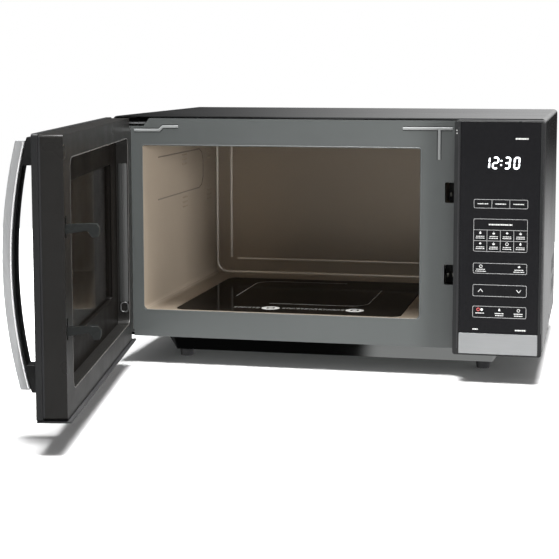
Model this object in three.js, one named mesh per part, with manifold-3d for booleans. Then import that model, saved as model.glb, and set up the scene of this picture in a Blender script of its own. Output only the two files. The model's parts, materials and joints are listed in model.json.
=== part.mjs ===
// Free-standing flatbed microwave oven with a left-hung door, standing open.
// Millimetres, +Z up, the front faces -Y and +X is to the right seen from the front.
// Body parts are placed from the middle of the body's width, the front plate's face (y = 0) and the floor.
// Door parts are placed from the hinge axis, in the closed position, inside a group that is turned open.
import * as THREE from 'three';
import { mergeVertices } from 'three/addons/utils/BufferGeometryUtils.js';
import Module from 'manifold-3d';

const wasm = await Module();
wasm.setup();

// ---------------------------------------------------------------- driving dimensions

const GAP = 0.3; // kept between parts that touch

const BODY_W = 513;
const BODY_D = 359.4; // wrapper, front to back
const BODY_H = 300; // floor to the top of the wrapper
const SHEET = 1; // wrapper and rear panel
const PRESSED = 1.2; // pressed steel: front plate, liner, base, frame
const LEFT = -BODY_W / 2;
const RIGHT = BODY_W / 2;
const WRAP_Z0 = 33; // lower edge of the wrapper
const WRAP_Y0 = 1.6;
const WRAP_R = 5;

const PLATE_Z0 = 34; // front plate, bottom and top
const PLATE_Z1 = 297.4;
const PLATE_X1 = 168;

const MOUTH_X0 = -220.5; // cavity mouth in the front plate
const MOUTH_X1 = 115;
const MOUTH_Z0 = 66;
const MOUTH_Z1 = 265.7;
const MOUTH_R = 8;

const CAVITY_Y1 = 336; // cavity back wall, inner face
const CAVITY_FLOOR = 64.5;
const CERAMIC_W = 276;
const CERAMIC_D = 268;
const CERAMIC_T = 4;
const CERAMIC_X = -49.5; // middle of the plate
const CERAMIC_Y0 = 20; // its front edge
const CERAMIC_R = 12;
const STIRRER_Y = 165; // feed point in the floor
const WELL_R = 100;
const WELL_Z = 46; // inner bottom of the stirrer well

const PANEL_W = 100; // control column
const PANEL_T = 30; // how far the column and the door stand in front of the plate
const PANEL_Z0 = 33;
const PANEL_Z1 = 299;
const PANEL_X0 = RIGHT - PANEL_W;
const STRIP_Z1 = 58; // top of the silver foot strip

const HINGE_X = LEFT + 6.5;
const HINGE_Y = -23;
const PIN_R = 2;
const PIN_Z = { upper: [278, 294], lower: [36.4, 50] };
const ARM_R = 4.2; // rounded end of each hinge bracket, and half the width of its neck
const ARM_NECK = 2.5;
const DOOR_L = 411;
const DOOR_OPEN = 80; // degrees, the rest pose
const DOOR_X0 = LEFT - HINGE_X; // closed door, from the hinge axis
const DOOR_X1 = DOOR_X0 + DOOR_L;
const DOOR_FRONT = -PANEL_T - HINGE_Y;
const DOOR_BACK = -1 - HINGE_Y; // inner face, 1 mm off the plate
const BEZEL_T = 6;

const HANDLE_INSET = 70; // from the door's free edge to the handle's middle
const HANDLE_W = 22;
const HANDLE_Z0 = 49;
const HANDLE_Z1 = 290;
const HANDLE_CAP = 3; // the grip runs past the band at both ends
const HANDLE_END = 28; // projection at the ends and at mid-height
const HANDLE_MID = 43;
const HANDLE_TRIM = 9.5; // depth of the silver band
const HANDLE_BAR = 11.8; // depth of band and grip together
const POST_H = 27;

const HOOK_T = 6; // latch hooks
const HOOK_X0 = 144 - HINGE_X;
const HOOK_Z = { upper: 216.5, lower: 121.5 }; // top of each hook's head
const SLOT_H = { above: 10, below: 13.5 }; // plate slot, from the hook's top
const LATCH_TRAVEL = 5;
const LATCH_FOOT = HOOK_Z.lower - 20; // lower end of the latch bar, above its spring
const SPRING = { turns: 6, r: 2.4, wire: 0.45, length: 20 };
const SPRING_TOP = LATCH_FOOT - GAP - SPRING.wire;

const DECK_Z = WRAP_Z0 + SHEET + 0.4; // underside of the base's flange
const BOARD_Z = DECK_Z + PRESSED + 0.8; // underside of the circuit boards
const PAN_Z = 11.5; // underside of the base pan
const PAN = { x: [-191, 197], y: [40, 345], left: 4, right: 15, front: 37.6, corner: 11 };
const FOOT_R = 8.7;
const FOOT_X = 184.5;
const FOOT_Y = { front: 62, rear: 308 };

const GRILLE_Y = [172, 292]; // first holes of the groups in the cavity's left wall
const GRILLE_Z = [174.5, 231];
const HOLE_STEP = 6;
const HOLE_R = 1.7;

const BAY_X0 = MOUTH_X1 + PRESSED + 1.3; // electronics bay, beside the liner
const GUIDE_Z0 = 30; // waveguide, bottom and top
const GUIDE_Z1 = 44.4;
const MAGNETRON_X = 170;
const FAN = { x: 186, z: 176, r: 42, y0: 328, y1: 353 };
const GLAND = { x: 205, z: 62 }; // where the cord leaves the rear panel

// Brings the middle of the rest pose's box to the origin
const OFFSET_X = 0.76;
const OFFSET_Y = 25.69;

// ---------------------------------------------------------------- finishes

const FINISH = {
  wrapper: { color: 0x3b3d40, roughness: 0.34, metalness: 0.9 },
  framePaint: { color: 0x38352f, roughness: 0.45, metalness: 0.2 },
  facePaint: { color: 0x55585a, roughness: 0.42, metalness: 0.3 },
  cavityPaint: { color: 0x7d7365, roughness: 0.45, metalness: 0.2 },
  zinc: { color: 0xa9adb0, roughness: 0.5, metalness: 0.85 },
  blackGlass: { color: 0x0b0b0c, roughness: 0.06, metalness: 0 },
  clearGlass: { color: 0x2a2826, roughness: 0.05, metalness: 0 },
  ceramic: { color: 0x0d0c0b, roughness: 0.08, metalness: 0 },
  darkPlastic: { color: 0x2e2f30, roughness: 0.5, metalness: 0 },
  blackPlastic: { color: 0x141415, roughness: 0.45, metalness: 0 },
  palePlastic: { color: 0xd9d6cc, roughness: 0.6, metalness: 0 },
  silver: { color: 0xb9bbbd, roughness: 0.3, metalness: 0.85 },
  steel: { color: 0xc0c2c4, roughness: 0.35, metalness: 1 },
  aluminium: { color: 0xc9cbcd, roughness: 0.4, metalness: 0.9 },
  board: { color: 0x2e5a38, roughness: 0.6, metalness: 0 },
  ferrite: { color: 0x3a3b3d, roughness: 0.75, metalness: 0.1 },
  rubber: { color: 0x17171a, roughness: 0.85, metalness: 0 },
  lampGlass: { color: 0xf2ead8, roughness: 0.1, metalness: 0 },
};

// ---------------------------------------------------------------- shape helpers

function block(x0, x1, y0, y1, z0, z1) {
  const box = new THREE.BoxGeometry(x1 - x0, y1 - y0, z1 - z0);
  return box.translate((x0 + x1) / 2, (y0 + y1) / 2, (z0 + z1) / 2);
}

function rectangle(x0, x1, y0, y1, radius = 0, topRadius = radius, Kind = THREE.Shape) {
  const shape = new Kind();
  if (!radius && !topRadius) {
    shape.moveTo(x0, y0).lineTo(x1, y0).lineTo(x1, y1).lineTo(x0, y1).closePath();
    return shape;
  }
  shape.moveTo(x0 + radius, y0).lineTo(x1 - radius, y0);
  shape.absarc(x1 - radius, y0 + radius, radius, -Math.PI / 2, 0);
  shape.lineTo(x1, y1 - topRadius);
  shape.absarc(x1 - topRadius, y1 - topRadius, topRadius, 0, Math.PI / 2);
  shape.lineTo(x0 + topRadius, y1);
  shape.absarc(x0 + topRadius, y1 - topRadius, topRadius, Math.PI / 2, Math.PI);
  shape.lineTo(x0, y0 + radius);
  shape.absarc(x0 + radius, y0 + radius, radius, Math.PI, 1.5 * Math.PI);
  return shape;
}

function disc(x, y, radius, Kind = THREE.Shape) {
  const shape = new Kind();
  shape.absarc(x, y, radius, 0, 2 * Math.PI);
  return shape;
}

function extrude(shape, depth, curveSegments) {
  return new THREE.ExtrudeGeometry(shape, { depth, curveSegments, bevelEnabled: false });
}

// Outline drawn in x and z, run along y
function alongY(shape, y0, y1, curveSegments = 5) {
  return extrude(shape, y1 - y0, curveSegments).rotateX(Math.PI / 2).translate(0, y1, 0);
}

// Outline drawn in x and y, run along z
function alongZ(shape, z0, z1, curveSegments = 5) {
  return extrude(shape, z1 - z0, curveSegments).translate(0, 0, z0);
}

// Outline drawn in y and z, run along x
function alongX(shape, x0, x1, curveSegments = 5) {
  const turn = new THREE.Matrix4().makeBasis(
    new THREE.Vector3(0, 1, 0), new THREE.Vector3(0, 0, 1), new THREE.Vector3(1, 0, 0));
  return extrude(shape, x1 - x0, curveSegments).applyMatrix4(turn).translate(x0, 0, 0);
}

function ring(outer, inner) {
  outer.holes.push(inner);
  return outer;
}

function hole(...sizes) {
  const radius = sizes[4] ?? 0;
  return rectangle(sizes[0], sizes[1], sizes[2], sizes[3], radius, sizes[5] ?? radius, THREE.Path);
}

function polygon(points) {
  return new THREE.Shape(points.map(([x, y]) => new THREE.Vector2(x, y)));
}

function rodX(x0, x1, y, z, radius, segments = 24) {
  return alongX(disc(y, z, radius), x0, x1, segments);
}

function rodY(y0, y1, x, z, radius, segments = 24) {
  return alongY(disc(x, z, radius), y0, y1, segments);
}

function rodZ(z0, z1, x, y, radius, segments = 24) {
  return alongZ(disc(x, y, radius), z0, z1, segments);
}

// ---------------------------------------------------------------- cutting and joining

function toSolid(geometry) {
  const bare = geometry.clone();
  bare.deleteAttribute('normal');
  bare.deleteAttribute('uv');
  const merged = mergeVertices(bare, 1e-4);
  return new wasm.Manifold(new wasm.Mesh({
    numProp: 3,
    vertProperties: new Float32Array(merged.attributes.position.array),
    triVerts: new Uint32Array(merged.index.array),
  }));
}

function toGeometry(solid) {
  const mesh = solid.getMesh();
  const geometry = new THREE.BufferGeometry();
  geometry.setAttribute('position', new THREE.BufferAttribute(mesh.vertProperties, 3));
  geometry.setIndex(new THREE.BufferAttribute(mesh.triVerts, 1));
  geometry.computeVertexNormals();
  return geometry;
}

function shapeOf(adds, cuts = []) {
  let solid = toSolid(adds[0]);
  for (const piece of adds.slice(1)) solid = solid.add(toSolid(piece));
  for (const piece of cuts) solid = solid.subtract(toSolid(piece));
  return toGeometry(solid);
}

// Copies of one cutter on a grid of steps
function grid(make, columns, rows) {
  const cutters = [];
  for (let column = 0; column < columns; column += 1) {
    for (let row = 0; row < rows; row += 1) cutters.push(make(column, row));
  }
  return cutters;
}

function add(group, name, geometry, finish) {
  const mesh = new THREE.Mesh(geometry, new THREE.MeshStandardMaterial(finish));
  mesh.name = name;
  group.add(mesh);
  return mesh;
}

// ---------------------------------------------------------------- casing

function outerCabinet() {
  const lip = 8;
  const inner = RIGHT - SHEET;
  const topIn = BODY_H - SHEET;
  const profile = new THREE.Shape();
  profile.moveTo(RIGHT, WRAP_Z0).lineTo(RIGHT, BODY_H - WRAP_R);
  profile.absarc(RIGHT - WRAP_R, BODY_H - WRAP_R, WRAP_R, 0, Math.PI / 2);
  profile.lineTo(LEFT + WRAP_R, BODY_H);
  profile.absarc(LEFT + WRAP_R, BODY_H - WRAP_R, WRAP_R, Math.PI / 2, Math.PI);
  profile.lineTo(LEFT, WRAP_Z0).lineTo(LEFT + lip, WRAP_Z0).lineTo(LEFT + lip, WRAP_Z0 + SHEET);
  profile.lineTo(-inner, WRAP_Z0 + SHEET).lineTo(-inner, topIn - WRAP_R + SHEET);
  profile.absarc(LEFT + WRAP_R, BODY_H - WRAP_R, WRAP_R - SHEET, Math.PI, Math.PI / 2, true);
  profile.lineTo(RIGHT - WRAP_R, topIn);
  profile.absarc(RIGHT - WRAP_R, BODY_H - WRAP_R, WRAP_R - SHEET, Math.PI / 2, 0, true);
  profile.lineTo(inner, WRAP_Z0 + SHEET).lineTo(RIGHT - lip, WRAP_Z0 + SHEET);
  profile.lineTo(RIGHT - lip, WRAP_Z0).closePath();

  const slot = { w: 4, h: 20, stepY: 9, stepZ: 27 };
  const vent = (x, y, z) => (column, row) => {
    const y0 = y + column * slot.stepY;
    const z0 = z + row * slot.stepZ;
    return alongX(rectangle(y0, y0 + slot.w, z0, z0 + slot.h, 1.9), x - 4, x + 4, 1);
  };
  const dimple = rodX(RIGHT - 3, RIGHT + 3, 180, 44, 3.5, 6);
  const cuts = [
    ...grid(vent(RIGHT, 240, 62), 9, 2),
    ...grid(vent(LEFT, 230, 200), 7, 2),
    dimple,
  ];
  return shapeOf([alongY(profile, WRAP_Y0, WRAP_Y0 + BODY_D, 4)], cuts);
}

function rearPanel() {
  const y0 = WRAP_Y0 + BODY_D - 2.8;
  const side = RIGHT - SHEET - 0.4;
  const intake = (column, row) => {
    const x0 = FAN.x - 42 + column * 43;
    const z0 = FAN.z - 39 + row * 9;
    return alongY(rectangle(x0, x0 + 38, z0, z0 + 5, 2.4), y0 - 2, y0 + 3, 1);
  };
  const exhaust = (column, row) => {
    const x0 = -180 + column * 16;
    const z0 = 236 + row * 24;
    return alongY(rectangle(x0, x0 + 5, z0, z0 + 18, 2.4), y0 - 2, y0 + 3, 1);
  };
  const cordHole = rodY(y0 - 2, y0 + 3, GLAND.x, GLAND.z, 7, 6);
  const sheet = alongY(rectangle(-side, side, DECK_Z, BODY_H - SHEET - 0.4, 0.5, WRAP_R), y0, y0 + SHEET);
  return shapeOf([sheet], [...grid(intake, 2, 9), ...grid(exhaust, 10, 2), cordHole]);
}

function cordGland() {
  const y = WRAP_Y0 + BODY_D - 2.8;
  // radius and distance behind the panel's inner face: a closed ring outline
  const outline = [
    [3.6, -5], [6.6, -5], [6.6, 1.3], [10, 1.3], [10, 3.5], [6.5, 4.5], [5.2, 13], [3.6, 13], [3.6, -5],
  ];
  const points = outline.map(([r, d]) => new THREE.Vector2(r, d));
  return new THREE.LatheGeometry(points, 20).translate(0, y, 0).translate(GLAND.x, 0, GLAND.z);
}

// A tray whose sides lean out from its floor, with front corners that widen upwards
function panForm(inset, top) {
  const [x0, x1] = [PAN.x[0] + inset, PAN.x[1] - inset];
  const [y0, y1] = [PAN.y[0] + inset, PAN.y[1] - inset];
  const [left, right, front] = [x0 - PAN.left, x1 + PAN.right, y0 - PAN.front];
  const floor = [[x0, y0], [x1, y0], [x1, y1], [x0, y1]];
  const rim = [
    [left, y1], [left, front + PAN.corner], [left + PAN.corner, front],
    [right - PAN.corner, front], [right, front + PAN.corner], [right, y1],
  ];
  return toGeometry(wasm.Manifold.hull([
    ...floor.map(([x, y]) => [x, y, PAN_Z + inset]), ...rim.map(([x, y]) => [x, y, top]),
  ]));
}

function basePlate() {
  const flange = block(LEFT + 1.4, RIGHT - 1.4, 2, 355, DECK_Z, DECK_Z + PRESSED);
  const slot = (column) => block(-150 + column * 24, -138 + column * 24, 312, 330, PAN_Z - 1, PAN_Z + 3);
  return shapeOf([flange, panForm(0, DECK_Z + PRESSED)],
    [panForm(PRESSED + 0.1, DECK_Z + 2 * PRESSED), ...grid(slot, 14, 1)]);
}

function frontPlate() {
  const outline = rectangle(LEFT + 0.3, PLATE_X1, PLATE_Z0, PLATE_Z1, 2, 3);
  outline.holes.push(hole(MOUTH_X0, MOUTH_X1, MOUTH_Z0, MOUTH_Z1, MOUTH_R, 3));
  for (const top of Object.values(HOOK_Z)) {
    outline.holes.push(hole(143, 156, top - SLOT_H.below, top + SLOT_H.above, 1));
  }
  const notches = [
    alongY(polygon([[LEFT - 1, 288], [LEFT + 38, 288], [LEFT + 46, 298], [LEFT - 1, 298]]), -2, 4),
    block(LEFT - 1, LEFT + 24, -2, 4, 33, 41.5),
  ];
  return shapeOf([alongY(outline, 0, PRESSED, 6)], notches);
}

function foot() {
  const points = [[0, 0], [7.6, 0], [8, 0.8], [FOOT_R, 8], [FOOT_R, PAN_Z - GAP], [0, PAN_Z - GAP]];
  const profile = points.map(([r, z]) => new THREE.Vector2(r, z));
  return new THREE.LatheGeometry(profile, 28).rotateX(Math.PI / 2);
}

function rearScrew() {
  const y = WRAP_Y0 + BODY_D - 1.8 + GAP;
  return shapeOf([rodY(y, y + 2, 0, 0, 4, 5)],
    [block(-2.4, 2.4, y + 1.2, y + 3, -0.5, 0.5), block(-0.5, 0.5, y + 1.2, y + 3, -2.4, 2.4)]);
}

// ---------------------------------------------------------------- cooking cavity

function cavityLiner() {
  const x0 = MOUTH_X0 - 0.5;
  const x1 = MOUTH_X1 + 0.5;
  const top = MOUTH_Z1 + 1;
  const t = PRESSED;
  const shell = alongY(rectangle(x0 - t, x1 + t, CAVITY_FLOOR - t, top + t, 9, 4), WRAP_Y0, CAVITY_Y1 + t);
  const inside = alongY(rectangle(x0, x1, CAVITY_FLOOR, top, 8, 3), 0, CAVITY_Y1);
  const half = CERAMIC_W / 2 + 1;
  const rest = (grow, z0, z1) => alongZ(rectangle(
    CERAMIC_X - half - grow, CERAMIC_X + half + grow,
    CERAMIC_Y0 - 1 - grow, CERAMIC_Y0 + CERAMIC_D + 1 + grow, CERAMIC_R + 1 + grow), z0, z1);
  const restZ = CAVITY_FLOOR - CERAMIC_T - 0.2;
  const well = (r, z0, z1) => rodZ(z0, z1, CERAMIC_X, STIRRER_Y, r, 12);
  const holes = (x, y, z, columns, rows) => grid((column, row) => (
    rodX(x - 3, x + 3, y + column * HOLE_STEP, z + row * HOLE_STEP, HOLE_R, 2)), columns, rows);
  const wallHoles = [];
  for (const y of GRILLE_Y) for (const z of GRILLE_Z) wallHoles.push(...holes(x0, y, z, 4, 3));
  return shapeOf(
    [shell, rest(t, restZ - t, CAVITY_FLOOR), well(WELL_R + t, WELL_Z - t, restZ)],
    [
      inside, rest(0, restZ, CAVITY_FLOOR + 1), well(WELL_R, WELL_Z, restZ + 1),
      well(14, WELL_Z - 3, WELL_Z + 1), ...wallHoles,
      ...holes(x1, 74, 86, 5, 4), ...holes(x1, 263, 227, 4, 4),
    ]);
}

function ceramicFloor() {
  const half = CERAMIC_W / 2;
  const outline = rectangle(
    CERAMIC_X - half, CERAMIC_X + half, CERAMIC_Y0, CERAMIC_Y0 + CERAMIC_D, CERAMIC_R);
  return alongZ(outline, CAVITY_FLOOR - CERAMIC_T + 0.2, CAVITY_FLOOR + 0.2, 6);
}

function waveguide() {
  const end = MAGNETRON_X + 34;
  const half = 45;
  const duct = block(-110, end, STIRRER_Y - half, STIRRER_Y + half, GUIDE_Z0, GUIDE_Z1);
  const bore = block(-109, end - 1, STIRRER_Y - half + 1, STIRRER_Y + half - 1, GUIDE_Z0 + 1, GUIDE_Z1 - 1);
  return shapeOf([duct], [
    bore,
    rodZ(GUIDE_Z1 - 2, GUIDE_Z1 + 1, CERAMIC_X, STIRRER_Y, 14, 6),
    rodZ(GUIDE_Z0 - 1, GUIDE_Z0 + 2, CERAMIC_X, STIRRER_Y, 6, 6),
    rodZ(GUIDE_Z1 - 2, GUIDE_Z1 + 1, MAGNETRON_X, STIRRER_Y, 12, 6),
  ]);
}

function stirrerAntenna() {
  const plate = rodZ(50, 51.2, 0, 0, 82, 9);
  const shaft = rodZ(24, 50.5, 0, 0, 3.5, 4);
  const slots = [0, 1, 2].map((turn) => {
    const slot = alongZ(rectangle(26, 68, -7, 7, 6.9), 48, 53, 4);
    return slot.rotateZ(turn * 2 * Math.PI / 3);
  });
  return shapeOf([plate, shaft], slots);
}

function stirrerMotor() {
  const body = rodZ(PAN_Z + PRESSED + 0.6, GUIDE_Z0 - GAP, 0, 0, 22, 8);
  return shapeOf([body], [rodZ(22, GUIDE_Z0 + 1, 0, 0, 4.2, 5)]);
}

// ---------------------------------------------------------------- microwave source and cooling

function magnetronYoke() {
  const x = MAGNETRON_X;
  const y = STIRRER_Y;
  return shapeOf([block(x - 42, x + 42, y - 36, y + 36, 47.5, 124)], [
    block(x - 40.4, x + 40.4, y - 40, y + 40, 49.1, 122.4),
    rodZ(46, 50, x, y, 12, 6),
  ]);
}

function magnetronFins() {
  const x = MAGNETRON_X;
  const y = STIRRER_Y;
  const fins = [];
  for (let z = 60; z < 114; z += 8) fins.push(block(x - 39, x + 39, y - 32, y + 32, z, z + 1));
  return shapeOf([rodZ(50, 121, x, y, 19, 7), ...fins]);
}

function magnetronDome() {
  const points = [[0, 34], [5, 34.6], [8, 38], [8, 46.8], [10.5, 47], [10.5, 49.7], [0, 49.7]];
  const profile = points.map(([r, z]) => new THREE.Vector2(r, z));
  const dome = new THREE.LatheGeometry(profile, 20).rotateX(Math.PI / 2);
  return dome.translate(MAGNETRON_X, STIRRER_Y, 0);
}

function inverterHeatsink() {
  const fins = [];
  for (let x = 196; x <= 244; x += 8) fins.push(block(x, x + 2, 236, 300, 43, 76));
  return shapeOf([block(194, 248, 236, 300, BOARD_Z + 2.2, 44), ...fins]);
}

function inverterTransformer() {
  const core = block(132, 184, 244, 284, BOARD_Z + 2.2, 78);
  const coil = rodX(138, 178, 264, 57, 27, 8);
  return shapeOf([core, coil], [block(128, 190, 230, 300, 20, BOARD_Z + 2.2)]);
}

function filterBoard() {
  const top = BOARD_Z + 1.6;
  const board = block(150, 190, 325, 351, BOARD_Z, top);
  return shapeOf([board, rodZ(top - 0.6, top + 14.4, 170, 338, 10, 6)],
    [rodZ(top + 1.4, top + 16, 170, 338, 4, 4)]);
}

function fanFrame() {
  const half = FAN.r + 4;
  const outline = rectangle(FAN.x - half, FAN.x + half, FAN.z - half, FAN.z + half, 4);
  const square = alongY(ring(outline, disc(FAN.x, FAN.z, FAN.r + 1, THREE.Path)), FAN.y0, FAN.y1, 10);
  const arms = [
    block(FAN.x - half, FAN.x + half, FAN.y1 - 3, FAN.y1, FAN.z - 3, FAN.z + 3),
    block(FAN.x - 3, FAN.x + 3, FAN.y1 - 3, FAN.y1, FAN.z - half, FAN.z + half),
  ];
  return shapeOf([square, ...arms, rodY(FAN.y1 - 3, FAN.y1, FAN.x, FAN.z, 17, 6)]);
}

// Drawn about its own axis, and placed at the fan's middle
function fanWheel() {
  const pieces = [rodY(0, 16, 0, 0, 18, 8)];
  const blades = 7;
  for (let blade = 0; blade < blades; blade += 1) {
    const vane = block(17, 40.5, -0.8, 0.8, -7, 7).rotateX(THREE.MathUtils.degToRad(52));
    pieces.push(vane.translate(0, 8, 0).rotateY(blade * 2 * Math.PI / blades));
  }
  return shapeOf(pieces, [rodY(2, 17, 0, 0, 15.6, 8)]);
}

function airDuct() {
  const outer = block(BAY_X0, 208, 58, 126, 76, 124);
  const inner = block(BAY_X0 - 2, 206.4, 59.6, 130, 77.6, 122.4);
  return shapeOf([outer], [inner]);
}

// ---------------------------------------------------------------- latch switches

function latchBoard() {
  const z0 = HOOK_Z.lower - 25;
  const z1 = HOOK_Z.upper + 25;
  const channel = (top) => block(140, 158, 0, 40, top - SLOT_H.below - 2, top + SLOT_H.above + 2);
  const lightening = block(134, 164, 12, 40, HOOK_Z.lower + 20, HOOK_Z.upper - 22);
  return shapeOf([block(131, 167, WRAP_Y0, 36, z0, z1)], [...Object.values(HOOK_Z).map(channel), lightening]);
}

const SWITCHES = [
  { name: 'primary', x: 147, top: HOOK_Z.upper },
  { name: 'secondary', x: 144.2, top: HOOK_Z.lower },
  { name: 'monitor', x: 149.9, top: HOOK_Z.lower },
];
const SWITCH_T = 5.4;
const PLUNGER_Y = 31.6;

function switchBody({ x, top }) {
  const z = top - 6.5;
  const half = SWITCH_T / 2;
  return shapeOf([block(x - half, x + half, 37, 54, z - 14, z + 14)],
    [block(x - 1.4, x + 1.4, 36, 41, z - 2.9, z + 2.9)]);
}

function plunger({ x, top }) {
  const z = top - 6.5;
  return block(x - 1, x + 1, PLUNGER_Y, 38.5, z - 2.4, z + 2.4);
}

// ---------------------------------------------------------------- control column

function controlHousing() {
  const outline = rectangle(PANEL_X0, RIGHT, PANEL_Z0, PANEL_Z1, 3);
  const wall = 2.2;
  const hollow = block(PANEL_X0 + wall, RIGHT - wall, -PANEL_T + 6, 2, PANEL_Z0 + wall, PANEL_Z1 - wall);
  const recess = block(
    PANEL_X0 + 6.8, RIGHT - 4.2, -PANEL_T - 1, -PANEL_T + 3.3, PANEL_Z0 + 1.2, PANEL_Z1 - 1);
  const sight = block(PANEL_X0 + 12, RIGHT - 9, -PANEL_T, -PANEL_T + 8, STRIP_Z1 + 8, PANEL_Z1 - 8);
  return shapeOf([alongY(outline, -PANEL_T, -GAP, 5)], [hollow, recess, sight]);
}

function controlGlass() {
  return block(PANEL_X0 + 7.1, RIGHT - 4.5, -PANEL_T, -PANEL_T + 3, STRIP_Z1 + GAP, PANEL_Z1 - 1.3);
}

function panelTrim() {
  return block(PANEL_X0 + 7.1, RIGHT - 4.5, -PANEL_T, -PANEL_T + 3, PANEL_Z0 + 1.5, STRIP_Z1);
}

function displayModule() {
  return block(PANEL_X0 + 34, PANEL_X0 + 78, -PANEL_T + 4, -PANEL_T + 10.5, 240, 263);
}

function controlBoard() {
  const board = block(PANEL_X0 + 10, RIGHT - 8, -PANEL_T + 11, -PANEL_T + 12.6, 66, 288);
  return shapeOf([board, block(PANEL_X0 + 20, PANEL_X0 + 44, -PANEL_T + 12, -PANEL_T + 22, 90, 118)]);
}

// ---------------------------------------------------------------- door, from the hinge axis

// Spans of the closed door, measured from its hinge end, along the door
function span(from, to) {
  return [DOOR_X0 + from, DOOR_X0 + to];
}

const DOOR_MOUTH = { x: span(28, 377.5), z: [56, 275.5], r: 10 };
const DOOR_WINDOW = { x: span(64, 351), z: [91, 248.5], r: 5 };
const GLASS_X = span(8, 403);
const GLASS_Z = [STRIP_Z1 + 2, 294];
const COVER_Z = [34, 298.3];
const COVER_WALL = 2;
const LEDGE = DOOR_BACK - 14.3; // metal frame's face, behind the cover
const FRAME_BACK = DOOR_FRONT + BEZEL_T + 1.4;

function framed({ x, z, r }, grow, y0, y1) {
  return alongY(rectangle(x[0] - grow, x[1] + grow, z[0] - grow, z[1] + grow, r + grow), y0, y1, 4);
}

function doorBezel() {
  const back = DOOR_FRONT + BEZEL_T;
  const seat = DOOR_FRONT + 3.2;
  return shapeOf([alongY(rectangle(DOOR_X0, DOOR_X1, PANEL_Z0, PANEL_Z1, 3), DOOR_FRONT, back, 5)], [
    block(GLASS_X[0], GLASS_X[1], DOOR_FRONT - 1, seat, GLASS_Z[0], GLASS_Z[1]),
    block(GLASS_X[0], GLASS_X[1], DOOR_FRONT - 1, seat, PANEL_Z0 + 1.2, STRIP_Z1 + 0.6),
    framed(DOOR_WINDOW, 6, DOOR_FRONT - 1, back + 1),
    block(DOOR_X0 - 1, 7.5, back - 4, back + 1, 287, 294.5),
    block(DOOR_X0 - 1, 7.5, back - 4, back + 1, 36, 43),
    rodZ(PIN_Z.lower[0] - 0.5, PIN_Z.upper[1] + 0.5, 0, 0, PIN_R + 0.5, 6),
  ]);
}

function doorGlass() {
  return block(GLASS_X[0] + GAP, GLASS_X[1] - GAP, DOOR_FRONT, DOOR_FRONT + 2.9,
    GLASS_Z[0] + GAP, GLASS_Z[1] - GAP);
}

function doorTrim() {
  return block(GLASS_X[0] + GAP, GLASS_X[1] - GAP, DOOR_FRONT, DOOR_FRONT + 2.9,
    PANEL_Z0 + 1.5, STRIP_Z1 + GAP);
}

function chokeCover() {
  const [x0, x1] = span(1.5, 409.5);
  const back = DOOR_FRONT + BEZEL_T + GAP;
  const w = COVER_WALL;
  const outer = alongY(rectangle(x0, x1, COVER_Z[0], COVER_Z[1], 4), back, DOOR_BACK, 4);
  const hollow = alongY(
    rectangle(x0 + w, x1 - w, COVER_Z[0] + w, COVER_Z[1] - w, 2), back - 1, DOOR_BACK - w, 4);
  const shell = toSolid(outer).subtract(toSolid(hollow));
  const collar = toSolid(framed(DOOR_MOUTH, w, DOOR_BACK - 14, DOOR_BACK));
  const bosses = [[276.5, 286], [43.5, 52]].map(([z0, z1]) => block(DOOR_X0 + 2, 6, back, 6, z0, z1));
  const notches = [[286.5, 300], [33, 43]].map(([z0, z1]) => (
    block(DOOR_X0 - 1, 7.5, back - 1, DOOR_BACK + 1, z0, z1)));
  const slot = (top) => block(HOOK_X0 - 0.5, HOOK_X0 + HOOK_T + 0.5, DOOR_BACK - 4, DOOR_BACK + 1,
    top - SLOT_H.below, top + LATCH_TRAVEL + 2);
  let solid = shell.add(collar).subtract(toSolid(framed(DOOR_MOUTH, 0, -20, DOOR_BACK + 1)));
  for (const boss of bosses) solid = solid.add(toSolid(boss));
  const seatTop = SPRING_TOP - SPRING.length - SPRING.wire - GAP;
  const springSeat = block(
    HOOK_X0 - 0.5, x1 - w + 1, DOOR_BACK - 12.5, DOOR_BACK - 5.5, seatTop - 4, seatTop);
  solid = solid.add(toSolid(springSeat));
  const pinBore = rodZ(30, 290, 0, 0, PIN_R + 0.5, 6);
  for (const cut of [...notches, ...Object.values(HOOK_Z).map(slot), pinBore]) {
    solid = solid.subtract(toSolid(cut));
  }
  return toGeometry(solid);
}

function doorFrame() {
  const edge = { x: span(22, 393), z: [48, 282], r: 6 };
  const t = PRESSED;
  const tray = toSolid(framed(edge, 0, FRAME_BACK, LEDGE))
    .subtract(toSolid(framed(edge, -t, FRAME_BACK - 1, LEDGE - t)));
  const wall = toSolid(framed(DOOR_WINDOW, t, FRAME_BACK, LEDGE));
  return toGeometry(tray.add(wall).subtract(toSolid(framed(DOOR_WINDOW, 0, FRAME_BACK - 1, LEDGE + 1))));
}

function doorMesh() {
  return framed(DOOR_WINDOW, 5, FRAME_BACK - GAP - 0.6, FRAME_BACK - GAP);
}

function innerWindow() {
  return framed(DOOR_WINDOW, -0.4, FRAME_BACK + 1.6, FRAME_BACK + 3.6);
}

// The handle's bow: projection from the door's face at one height
function bow(z, depth) {
  const middle = (HANDLE_Z0 + HANDLE_Z1) / 2;
  const reach = (z - middle) / (HANDLE_Z1 - middle);
  return DOOR_FRONT - (HANDLE_END + (HANDLE_MID - HANDLE_END) * (1 - reach * reach)) + depth;
}

function bowLine(z0, z1, depth, steps = 18) {
  const points = [];
  for (let step = 0; step <= steps; step += 1) {
    const z = z0 + (z1 - z0) * step / steps;
    points.push([bow(z, depth), z]);
  }
  return points;
}

const HANDLE_X = DOOR_X1 - HANDLE_INSET;

function handleTrim() {
  const outline = polygon([
    ...bowLine(HANDLE_Z0, HANDLE_Z1, 0), ...bowLine(HANDLE_Z1, HANDLE_Z0, HANDLE_TRIM),
  ]);
  return alongX(outline, HANDLE_X - HANDLE_W / 2, HANDLE_X + HANDLE_W / 2);
}

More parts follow.
